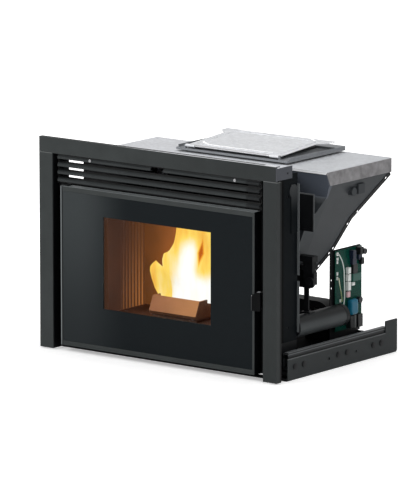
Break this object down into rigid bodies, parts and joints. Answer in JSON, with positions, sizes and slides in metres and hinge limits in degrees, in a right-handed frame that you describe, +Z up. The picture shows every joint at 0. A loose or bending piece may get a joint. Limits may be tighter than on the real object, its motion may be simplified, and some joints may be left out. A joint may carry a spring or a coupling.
{
  "type": "fireplace insert",
  "caption": "Pull-out pellet fireplace insert on a telescopic base, with a three-sided surround, hinged glass door, louvred grille, top hatch and side hopper.",
  "frame": {"origin": "middle of the footprint on the floor, at the centre of the bounding box's underside", "axes": "+Z up, -Y out of the fire's front, +X to the right as seen from the front"},
  "size_m": [0.8, 0.5494, 0.58],
  "materials": {
    "anthracite": "satin anthracite powder coat",
    "black": "matt black high-temperature paint",
    "galvanised": "galvanised sheet with soft spangle",
    "hopper_grey": "satin dark grey coating",
    "steel": "zinc-plated steel",
    "iron": "heat-stained cast lining",
    "glass": "ceramic glass with a black printed border",
    "rope": "dark glass-fibre sealing rope",
    "rubber": "soft black rubber",
    "ceramic": "white ceramic",
    "board_green": "green solder mask",
    "parts_mixed": "dark blue and black component cases",
    "wire": "white and yellow-green wire insulation",
    "cast_grey": "grey die-cast gearbox case"
  },
  "bodies": {
    "base": {"base_tray": "anthracite", "base_side_left": "anthracite", "base_side_right": "anthracite", "slide_bolts": "black", "rear_buffers": "rubber", "slide_outer": "galvanised"},
    "slide_middle": {"slide_middle": "galvanised"},
    "insert": {"slide_inner": "galvanised", "chassis_floor": "anthracite", "side_panel_left": "black", "side_panel_right": "black", "surround_header": "anthracite", "surround_left": "anthracite", "surround_right": "anthracite", "front_plate": "anthracite", "grille": "anthracite", "grille_screws": "steel", "firebox_shell": "black", "rib_lining_left": "iron", "rib_lining_right": "iron", "back_lining": "iron", "hearth_plate": "iron", "baffle_plate": "iron", "burn_pot": "iron", "ash_drawer": "anthracite", "igniter": "ceramic", "heat_exchanger": "black", "casing_top": "galvanised", "casing_walls": "galvanised", "hopper_cover": "galvanised", "hopper_shell": "hopper_grey", "hopper_flange": "black", "hopper_bracket": "anthracite", "hatch_frame": "galvanised", "lid_hinge_pin": "steel", "lid_seal": "rubber", "hopper_grid": "steel", "service_box": "black", "service_box_cover": "black", "auger_tube": "black", "gearbox": "cast_grey", "gearmotor": "black", "drop_chute": "black", "air_intake_pipe": "anthracite", "air_box": "black", "room_fan_housing": "black", "flue_fan_housing": "black", "flue_outlet": "steel", "board_bracket": "black", "circuit_board": "board_green", "board_components": "parts_mixed", "board_wires": "wire"},
    "door": {"door_frame": "anthracite", "door_glass": "glass", "door_gasket": "rope"},
    "latch": {"latch_lever": "black"},
    "hatch_lid": {"hatch_lid": "galvanised"},
    "auger": {"auger_screw": "steel"},
    "room_fan": {"room_fan_rotor": "steel"},
    "flue_fan": {"flue_fan_rotor": "steel"}
  },
  "joints": [
    {"name": "insert_slide", "type": "slide", "parent": "base", "child": "insert", "axis": [0, -1, 0], "range_m": [0, 0.34]},
    {"name": "middle_slide", "type": "slide", "parent": "base", "child": "slide_middle", "axis": [0, -1, 0], "range_m": [0, 0.17]},
    {"name": "door_hinge", "type": "hinge", "parent": "insert", "child": "door", "pos_m": [-0.318, -0.25425, 0.235], "axis": [0, 0, -1], "range_deg": [0, 95]},
    {"name": "latch_turn", "type": "hinge", "parent": "door", "child": "latch", "pos_m": [0.334, -0.25025, 0.214], "axis": [0, -1, 0], "range_deg": [0, 90]},
    {"name": "lid_hinge", "type": "hinge", "parent": "insert", "child": "hatch_lid", "pos_m": [0.048, -0.00225, 0.5495], "axis": [1, 0, 0], "range_deg": [-4, 88]},
    {"name": "auger_turn", "type": "hinge", "parent": "insert", "child": "auger", "pos_m": [0.282, 0.00175, 0.2525], "axis": [-0.9397, 0, 0.342], "continuous": true},
    {"name": "room_fan_turn", "type": "hinge", "parent": "insert", "child": "room_fan", "pos_m": [0.24, 0.13775, 0.094], "axis": [0, 1, 0], "continuous": true},
    {"name": "flue_fan_turn", "type": "hinge", "parent": "insert", "child": "flue_fan", "pos_m": [-0.2, -0.04025, 0.14], "axis": [0, 1, 0], "continuous": true}
  ],
  "couplings": [
    {"joint": "middle_slide", "follows": "insert_slide", "ratio": 0.5}
  ]
}
